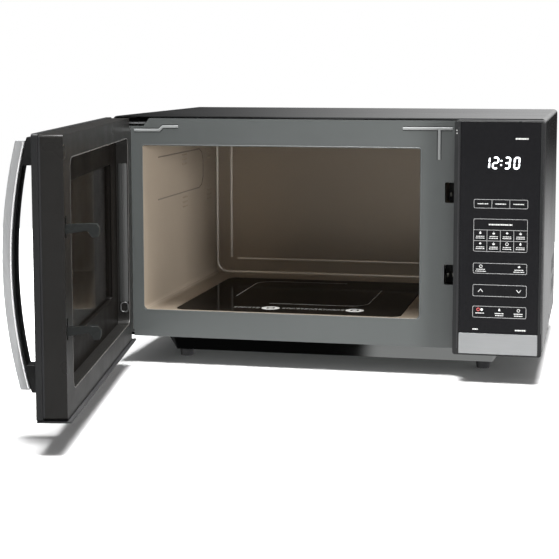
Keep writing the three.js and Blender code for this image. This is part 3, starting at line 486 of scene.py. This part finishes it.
# Beads on the back wall: a frame with round lower corners, and three straight ones inside it. Their
# enamel is far lighter than the wall's, as a painted highlight.
lines = bmesh.new()
BEAD_TOP, BEND_Z, BEND = CAVITY_TOP - 4, 81, 15
frame_x = WALL_LEFT + 2
across = WALL_LEFT + WALL_RIGHT  # a point's x and its mirror image's x add up to this
frame_path = [(frame_x, CAVITY_BACK, BEAD_TOP), (frame_x, CAVITY_BACK, BEND_Z)]
frame_path += [(frame_x + BEND * (1 - math.cos(a)), CAVITY_BACK, BEND_Z - BEND * math.sin(a))
               for a in QUARTER_TURN]
frame_path += [(across - x, y, z) for x, y, z in reversed(frame_path)]
sweep(lines, frame_path, half_round(3.8, 1.2), FRONT)
UPRIGHT_X, LEVEL_X, LEVEL_Z = -198.3, -189, 85.3
for x in (UPRIGHT_X, across - UPRIGHT_X):
    sweep(lines, [(x, CAVITY_BACK, 87), (x, CAVITY_BACK, BEAD_TOP)], half_round(3.8, 1.2), FRONT)
level_bead = [(LEVEL_X, CAVITY_BACK, LEVEL_Z), (across - LEVEL_X, CAVITY_BACK, LEVEL_Z)]
sweep(lines, level_bead, half_round(3.2, 1.1), FRONT)
piece("cavity_beads", lines, cavity_bead_highlight_enamel, "cabinet")

# Pressed outline of the grille on the left wall, in an enamel darker than the wall's as painted shade
grille = bmesh.new()
GRILLE = [(66, 246.4), (250, 246.4), (262, 242), (268.5, 231), (268.5, 208), (261, 197),
          (248, 193.5), (64, 193.5)]
sweep(grille, [(WALL_LEFT, y, z) for y, z in GRILLE], half_round(1.8, 0.6), (1, 0, 0))
piece("wall_outline", grille, outline_shade_enamel, "cabinet")

# Printed marks on the ceramic: two open corners, two ringed dots and rows of dashes
marks, rings = bmesh.new(), bmesh.new()
MARK_X, MARK_Y, MARK_R = (-138.7, 38.3), (84, 262), 24


def on_ceramic(points):
    return [(x, y, CERAMIC_Z) for x, y in points]


def corner(cx, cy, start):
    turns = [math.radians(degrees) for degrees in range(start, start + 91, 10)]
    return [(cx + MARK_R * math.cos(a), cy + MARK_R * math.sin(a)) for a in turns]


rear_corner = [(-17, MARK_Y[1]), *corner(MARK_X[0] + MARK_R, MARK_Y[1] - MARK_R, 90), (MARK_X[0], 133)]
front_corner = [(-84, MARK_Y[0]), *corner(MARK_X[1] - MARK_R, MARK_Y[0] + MARK_R, -90), (MARK_X[1], 211)]
for outline in (rear_corner, front_corner):
    sweep(marks, on_ceramic(outline), flat(1.0, PRINT), UP)
for x, y in ((-74.5, 50), (29.2, 54)):
    sweep(rings, on_ceramic(circle(x, y, 8.5)), flat(5.5, PRINT), UP, closed=True)
    slab(rings, circle(x, y, 3.2, 12), CERAMIC_Z, CERAMIC_Z + PRINT, "z")
DASHES, DASH_SPACE, ROW_SPACE = (3.4, 2.2, 4.6, 1.6), 1.6, 5
for start, end, y in ((-120, -89, 47), (-60, 16, 50)):
    for row in (0, 1):
        x = start
        step = 0
        while x < end:
            length = DASHES[step % 4]
            dash = [(x, y + row * ROW_SPACE), (x + length, y + row * ROW_SPACE)]
            sweep(rings, on_ceramic(dash), flat(0.8, PRINT), UP)
            x += length + DASH_SPACE
            step += 1 + row
piece("ceramic_marks", marks, print_bright, "cabinet")
piece("ceramic_rings", rings, print_bright, "cabinet")

# ---------------------------------------------------------------- control column

COLUMN_LEFT = RIGHT - 100


def stroke(mesh, points, width=0.45, closed=False):
    """A printed line on the control glass."""
    sweep(mesh, [(x, FACE, z) for x, z in points], flat(width, PRINT), FRONT, closed)


def patch_of_print(mesh, outline):
    slab(mesh, outline, FACE - PRINT, FACE)


KEY_X = (RIGHT - 77.3, RIGHT - 17.5)
KEY_W = KEY_X[1] - KEY_X[0]
KEY_MIDDLE = sum(KEY_X) / 2
TOP_ROW, GRID = (201, 210.7), (152, 188.7)
PAIR, ARROWS, START_ROW = (127, 138.6), (101, 114), (76.7, 89.4)
GRID_LINES = (176.3, 164)  # under its title and between its two rows
legend, frames = bmesh.new(), bmesh.new()
for z0, z1 in (TOP_ROW, GRID, PAIR, ARROWS, START_ROW):
    stroke(frames, rounded(*KEY_X, z0, z1, 1.4, 4), closed=True)
for share in (1 / 3, 2 / 3):
    stroke(frames, [(KEY_X[0] + KEY_W * share, z) for z in TOP_ROW])
for z in GRID_LINES:
    stroke(frames, [(x, z) for x in KEY_X])
for share in (0.25, 0.5, 0.75):
    stroke(frames, [(KEY_X[0] + KEY_W * share, z) for z in (GRID[0], GRID_LINES[0])])


def dashes(mesh, middle, z, length, height):
    """A generic row of short marks where a caption would be."""
    x = middle - length / 2
    index = 0
    while x < middle + length / 2:
        run = min((1.3, 0.8, 1.6)[index % 3], middle + length / 2 - x)
        stroke(mesh, [(x, z), (x + run, z)], height)
        x += run + 0.45
        index += 1


for index in range(3):
    dashes(legend, KEY_X[0] + KEY_W * (index + 0.5) / 3, 205.8, 12, 1.0)
dashes(legend, KEY_MIDDLE, 182.5, 26, 1.5)
dashes(legend, KEY_X[1] - 7.5, 279, 14, 1.7)
dashes(legend, KEY_X[0] + 3, 63, 6, 1.4)
dashes(legend, KEY_X[1] - 6, 63, 12, 1.4)


def icon(mesh, kind, x, z, size=1.6):
    """Small plain pictograms: ring, disc, drop, bowl and leaf."""
    if kind == "ring":
        stroke(mesh, circle(x, z, size, 14), 0.5, closed=True)
    elif kind == "disc":
        patch_of_print(mesh, circle(x, z, size, 14))
    elif kind == "drop":
        patch_of_print(mesh, [(x, z + size * 1.3), (x - size * 0.7, z), (x - size * 0.5, z - size * 0.7),
                              (x + size * 0.5, z - size * 0.7), (x + size * 0.7, z)])
    elif kind == "bowl":
        patch_of_print(mesh, [(x - size, z + size * 0.2), (x - size * 0.6, z - size * 0.8),
                              (x + size * 0.6, z - size * 0.8), (x + size, z + size * 0.2)])
        stroke(mesh, [(x, z + size * 0.5), (x, z + size * 1.1)], 0.4)
    else:
        patch_of_print(mesh, [(x - size, z), (x, z + size * 0.9), (x + size, z), (x, z - size * 0.6)])


GRID_ICONS = (("drop", "bowl", "leaf", "bowl"), ("leaf", "bowl", "ring", "drop"))
for base, kinds in zip((GRID_LINES[1], GRID[0]), GRID_ICONS):
    for column, kind in enumerate(kinds):
        middle = KEY_X[0] + KEY_W * (column + 0.5) / 4
        icon(legend, kind, middle, base + 8.8)
        dashes(legend, middle, base + 5, 9, 0.8)
        dashes(legend, middle, base + 3, 10, 0.8)
ARROW_Z, ARROW_HALF = 107.5, (2.6, 1.6)
for middle, kind, up in ((KEY_X[0] + 8.5, "ring", 1), (KEY_X[1] - 8.5, "leaf", -1)):
    icon(legend, kind, middle, 135)
    dashes(legend, middle, 131.6, 10, 0.8)
    dashes(legend, middle, 129.4, 12, 0.8)
    low, high = ARROW_Z - ARROW_HALF[1] * up, ARROW_Z + ARROW_HALF[1] * up
    stroke(legend, [(middle - ARROW_HALF[0], low), (middle, high), (middle + ARROW_HALF[0], low)], 0.55)
for middle, kind in ((KEY_X[0] + 10.2, "disc"), (KEY_MIDDLE, "drop"), (KEY_X[1] - 8.5, "ring")):
    icon(legend, kind, middle, 85.6, 1.5)
    dashes(legend, middle - (2 if kind == "disc" else 0), 81.6, 10, 0.9)
    if kind != "disc":
        dashes(legend, middle, 79.3, 9, 0.9)
piece("panel_legend", legend, print_white, "cabinet")
piece("key_frames", frames, print_line, "cabinet")

stop = bmesh.new()
stroke(stop, circle(KEY_X[0] + 6.2, 85.6, 1.6, 16), 0.8, closed=True)
piece("stop_mark", stop, print_red, "cabinet")

# Clock digits, made of slanted lit bars
SEGMENTS = {"1": "bc", "2": "abged", "3": "abgcd", "0": "abcdef"}
DIGIT_W, DIGIT_H, BAR_W, LEAN = 5.4, 12.0, 1.7, 0.09
CLOCK_Z = 245.9
DIGIT_X = (189.8, 199.3, 212.5, 222.9)
COLON_X = 208.3
LIT = (FACE - 0.12, FACE - 0.01)  # the lit marks' front and back


def bar(mesh, x, z, level):
    """One bar of a digit, pointed at both ends, round its middle."""
    half = (DIGIT_W if level else DIGIT_H / 2) / 2 - 0.25
    thick = BAR_W / 2
    points = [(-half, 0), (-half + thick, -thick), (half - thick, -thick), (half, 0),
              (half - thick, thick), (-half + thick, thick)]
    if not level:
        points = [(v, u) for u, v in points]
    slab(mesh, [(x + u + (z + v - CLOCK_Z) * LEAN, z + v) for u, v in points], *LIT)


# Each bar's middle from the digit's lower left corner, and whether it lies level
BARS = {"a": (DIGIT_W / 2, DIGIT_H, True), "g": (DIGIT_W / 2, DIGIT_H / 2, True),
        "d": (DIGIT_W / 2, 0, True),
        "f": (0, DIGIT_H * 0.75, False), "b": (DIGIT_W, DIGIT_H * 0.75, False),
        "e": (0, DIGIT_H * 0.25, False), "c": (DIGIT_W, DIGIT_H * 0.25, False)}
clock = bmesh.new()
for digit, left in zip("1230", DIGIT_X):
    for key in SEGMENTS[digit]:
        dx, dz, level = BARS[key]
        bar(clock, left + dx, CLOCK_Z + dz, level)
for rise in (3.6, 8.4):
    slab(clock, circle(COLON_X + rise * LEAN, CLOCK_Z + rise, 0.95, 12), *LIT)
piece("clock_digits", clock, digit_light, "cabinet")

# Light line round the column's top and right edges, a painted highlight
line = bmesh.new()
LINE_IN, LINE_BEND, LINE_TOP = 0.9, 2.3, 298.1
bend_x, bend_z = RIGHT - LINE_IN - LINE_BEND, LINE_TOP - LINE_BEND
edge = [(RIGHT - LINE_IN, 60), (RIGHT - LINE_IN, 296)]
edge += [(bend_x + LINE_BEND * math.cos(a), bend_z + LINE_BEND * math.sin(a))
         for a in [0, *QUARTER_TURN]]
edge += [(COLUMN_LEFT + 2, LINE_TOP)]
sweep(line, [(x, FACE + 0.35, z) for x, z in edge], half_round(0.9, 0.4), FRONT)
piece("column_edge_highlight", line, column_edge_highlight_paint, "cabinet")

# Black strip down the column's left border, painted as the shade in a groove, with two small light pads
# at its head
groove_shade_strip = bmesh.new()
groove_x = (COLUMN_LEFT + 4.2, COLUMN_LEFT + 5.6)
slab(groove_shade_strip, [(groove_x[0], 40), (groove_x[1], 40), (groove_x[1], 292), (groove_x[0], 292)],
     FACE - 0.02, FACE + 0.4)
piece("column_groove_shade", groove_shade_strip, black_plastic, "cabinet")
pads = bmesh.new()
for z in (288, 284.5):
    slab(pads, circle(COLUMN_LEFT + 2.6, z, 0.6, 12), FACE - 0.06, FACE + 0.3)
piece("column_pads", pads, print_grey, "cabinet")

# ---------------------------------------------------------------- handle

BEZEL_FACE = -7.0  # the door's outer face
DOOR_END = 404.5
HANDLE_X = DOOR_END - 70
BOW_MIDDLE, BOW_HALF = 169.5, 120.5  # height of the bow's middle, and from there to its ends
BOW_END, BOW_RISE = 28, 15  # how far it stands off the door at its ends, and how much more between
BAND, BAND_W = 9.5, 22  # thickness and width of the silver band
GRIP, GRIP_W = 11.8, 20  # back of the dark grip behind the bow's front, and its width


def bow(z, depth):
    """Distance from the hinge plane to a surface that lies this deep behind the bow's front."""
    reach = (z - BOW_MIDDLE) / BOW_HALF
    return BEZEL_FACE - (BOW_END + BOW_RISE * (1 - reach * reach)) + depth


def bow_points(z0, z1, depth, steps):
    heights = [z0 + (z1 - z0) * i / steps for i in range(steps + 1)]
    return [(bow(z, depth), z) for z in heights]


def over_handle(width):
    return HANDLE_X - width / 2, HANDLE_X + width / 2, "x"


band = bmesh.new()
slab(band, bow_points(49, 290, 0, 48) + bow_points(290, 49, BAND, 48), *over_handle(BAND_W))
band = piece("handle_band", band, handle_silver, "door", DOOR, sharp=30, bevel=0.7)
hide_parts("handle_trim")

foot = BEZEL_FACE - 0.3
grip = bmesh.new()
outline = bow_points(46, 293, BAND + 0.3, 48) + [(foot, 293), (foot, 266)]
outline += bow_points(266, 73, GRIP, 40) + [(foot, 73), (foot, 46)]
slab(grip, outline, *over_handle(GRIP_W))
grip = piece("handle_body", grip, bezel_plastic, "door", DOOR, sharp=30, bevel=0.9)
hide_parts("handle_grip")

# Light lines along both edges of the silver band: painted highlights
edges = bmesh.new()
for side in (-1, 1):
    path = [(HANDLE_X + side * (BAND_W / 2 - 0.1), y, z) for y, z in bow_points(50.5, 288.5, 8.4, 48)]
    sweep(edges, path, half_round(1.5, 0.35), (side, 0, 0))
piece("handle_edge_highlights", edges, edge_highlight_paint, "door", DOOR)

# ---------------------------------------------------------------- door's inner face

BACK = 22.0  # the cover's inner face
RECESS = rounded(21.5, 371, 56, 275.5, 10, 8)
WINDOW_LEDGE = 7.6  # the metal frame's face at the bottom of the recess

# Lip round the recess, lighter than the cover as a painted highlight
lip = bmesh.new()
sweep(lip, [(x, BACK - 0.3, z) for x, z in RECESS], half_round(1.3, 0.45), BEHIND, closed=True)
piece("recess_lip", lip, rim_highlight, "door", DOOR)

# Satin strip on the recess's hinge-side wall, in a light half and a dark half that is painted shade,
# with a small loop at its foot
STRIP_X, STRIP_Z = 21.6, (82, 246)
strip = bmesh.new()
slab(strip, rounded(14.6, 20.5, *STRIP_Z, 1.2, 4), STRIP_X, STRIP_X + 0.7, "x")
piece("recess_strip", strip, strip_metal, "door", DOOR, bevel=0.15)
shade = bmesh.new()
slab(shade, rounded(10.5, 14.4, *STRIP_Z, 1.2, 4), STRIP_X, STRIP_X + 0.4, "x")
piece("recess_strip_painted_shade", shade, strip_painted_shade, "door", DOOR, bevel=0.1)
loop = bmesh.new()
loop_path = [(STRIP_X + 0.4, y, z) for y, z in rounded(11.5, 20, 70, 81, 3.5)]
sweep(loop, loop_path, half_round(1.6, 0.9), (1, 0, 0), closed=True)
piece("recess_loop", loop, strip_metal, "door", DOOR)

# Sill under the door, and the dark joint between bezel and cover on the free edge
sill = bmesh.new()
slab(sill, rounded(-5.8, DOOR_END - 0.4, BEZEL_FACE + 0.2, 25.6, 1.0, 3), 31.4, 32.8, "z")
piece("door_sill", sill, black_plastic, "door", DOOR, bevel=0.3)
joint = bmesh.new()
JOINT_HALF, JOINT_Z = 0.9, (36, 296.5)
slab(joint, [(-JOINT_HALF, JOINT_Z[0]), (JOINT_HALF, JOINT_Z[0]), (JOINT_HALF, JOINT_Z[1]),
             (-JOINT_HALF, JOINT_Z[1])], DOOR_END - 1.6, DOOR_END - 1.35, "x")
piece("cover_joint", joint, black_plastic, "door", DOOR)

# Raised edge round the window
window_edge = bmesh.new()
window_path = [(x, WINDOW_LEDGE, z) for x, z in rounded(57.5, 344.5, 91, 248.5, 5)]
sweep(window_edge, window_path, half_round(2.0, 0.4), BEHIND, closed=True)
piece("window_edge", window_edge, frame_paint, "door", DOOR)

# Printed border on the outside of the door glass, round the see-through part
border = bmesh.new()
border_path = [(x, BEZEL_FACE, z) for x, z in rounded(51.5, 350.5, 85, 254.5, 6)]
sweep(border, border_path, flat(0.8, PRINT), FRONT, closed=True)
piece("glass_border", border, print_grey, "door", DOOR)

# ---------------------------------------------------------------- floor, light and camera

FLOOR_HALF, FLOOR_ROUND, FLOOR_T = 1350, 300, 2
floor_mesh = bmesh.new()
floor_outline = rounded(-FLOOR_HALF, FLOOR_HALF, -FLOOR_HALF, FLOOR_HALF, FLOOR_ROUND, 8)
slab(floor_mesh, floor_outline, -FLOOR_T, 0, "z")
floor_surface = finish("studio floor", (0.88, 0.88, 0.88), (0.90, 0.90, 0.90), (0.55, 0.65), relief=0.01)
bmesh.ops.transform(floor_mesh, matrix=Matrix.Scale(MM, 4), verts=floor_mesh.verts)
floor_data = bpy.data.meshes.new("studio_floor")
bmesh.ops.recalc_face_normals(floor_mesh, faces=floor_mesh.faces)
floor_mesh.to_mesh(floor_data)
floor_data.materials.append(floor_surface.material)
floor = bpy.data.objects.new("studio_floor", floor_data)
bpy.context.scene.collection.objects.link(floor)
floor.visible_glossy = False  # dark surfaces show the sky's soft gradient, not a white floor


def soft_light(name, location, target, size, power):
    data = bpy.data.lights.new(name, "AREA")
    data.shape = "RECTANGLE"
    data.size, data.size_y = size
    data.energy = power
    lamp = bpy.data.objects.new(name, data)
    bpy.context.scene.collection.objects.link(lamp)
    lamp.location = location
    lamp.rotation_euler = (Vector(target) - Vector(location)).to_track_quat("-Z", "Y").to_euler()
    return lamp


soft_light("overhead", location=(0.1, -0.1, 2.4), target=(0, 0, 0), size=(1.3, 1.3), power=290)
key = soft_light("right key", location=(2.15, -1.5, 0.42), target=(-0.15, 0.1, 0.16), size=(0.8, 0.6),
                 power=108)
# The key light leaves the floor out, so that its low angle lays no long shadows there
off_floor = bpy.data.collections.new("key light leaves out")
off_floor.objects.link(floor)
off_floor.collection_objects[0].light_linking.link_state = "EXCLUDE"
key.light_linking.receiver_collection = off_floor
key.visible_glossy = False  # its mirror image would blow out the steel top seen from behind

world = bpy.data.worlds.new("studio")
bpy.context.scene.world = world
world.use_nodes = True
tree = world.node_tree
background = tree.nodes["Background"]
split = tree.nodes.new("ShaderNodeSeparateXYZ")
tree.links.new(tree.nodes.new("ShaderNodeTexCoord").outputs["Generated"], split.inputs["Vector"])


def sky_range(axis, start, end, low, high):
    """Brightness that goes smoothly from low to high as the direction's X, Y or Z goes from start to
    end."""
    node = tree.nodes.new("ShaderNodeMapRange")
    node.interpolation_type = "SMOOTHSTEP"
    for socket, number in zip(("From Min", "From Max", "To Min", "To Max"), (start, end, low, high)):
        node.inputs[socket].default_value = number
    tree.links.new(split.outputs[axis], node.inputs["Value"])
    return node.outputs["Result"]


def sky_math(operation, a, b):
    node = tree.nodes.new("ShaderNodeMath")
    node.operation = operation
    tree.links.new(a, node.inputs[0])
    tree.links.new(b, node.inputs[1])
    return node.outputs["Value"]


# Behind the viewer: dim, brighter low down and on the left
front = sky_range("Y", 0.2, -0.4, 0.0, 0.2)
front = sky_math("MULTIPLY", front, sky_range("Z", 0.1, -0.35, 1.0, 2.6))
front = sky_math("MULTIPLY", front, sky_range("X", -0.5, 0.4, 2.0, 0.45))
# A light band just above the horizon, on the right
upper = sky_range("Z", -0.01, 0.05, 0.0, 1.0)
upper = sky_math("MULTIPLY", upper, sky_range("Z", 0.25, 0.5, 1.0, 0.1))
upper = sky_math("MULTIPLY", upper, sky_range("X", -0.33, 0.05, 0.02, 0.78))
# A light band below the horizon, on the right, that fades out further down
below = sky_range("Z", -0.045, -0.14, 0.02, 0.58)
below = sky_math("MULTIPLY", below, sky_range("X", -0.08, 0.03, 0.12, 1.0))
below = sky_math("MULTIPLY", below, sky_range("Z", -0.35, -0.6, 1.0, 0.09))
# A light field far below, which ends at a clear edge near the middle
card = sky_math("MULTIPLY", sky_range("X", -0.165, -0.15, 0.0, 0.7),
                sky_range("Z", -0.5, -0.6, 0.0, 1.0))
overhead = sky_range("Z", 0.25, 0.75, 0.0, 0.3)
lit = sky_math("MAXIMUM", upper, sky_math("MAXIMUM", below, card))
lit = sky_math("MAXIMUM", sky_math("MAXIMUM", lit, overhead), front)
# Seen directly, the backdrop is plain white
eye = tree.nodes.new("ShaderNodeLightPath")
strength = sky_math("MAXIMUM", lit, eye.outputs["Is Camera Ray"])
tree.links.new(strength, background.inputs["Strength"])
background.inputs["Color"].default_value = (1, 1, 1, 1)

camera_data = bpy.data.cameras.new("camera")
camera = bpy.data.objects.new("camera", camera_data)
bpy.context.scene.collection.objects.link(camera)
bpy.context.scene.camera = camera
YAW, PITCH = math.radians(11.977), math.radians(6.326)
CAMERA_AT = (0.32396, -1.62539, 0.36228)
LENS, SENSOR = 93.04, 36
SHIFT = (-0.0367, -0.10)
camera.location = CAMERA_AT
forward = Vector((-math.sin(YAW) * math.cos(PITCH), math.cos(YAW) * math.cos(PITCH), -math.sin(PITCH)))
camera.rotation_euler = forward.to_track_quat("-Z", "Y").to_euler()
camera_data.sensor_width = SENSOR
camera_data.lens = LENS
camera_data.shift_x, camera_data.shift_y = SHIFT
camera_data.clip_start, camera_data.clip_end = 0.01, 50

bpy.context.scene.view_settings.view_transform = "Standard"
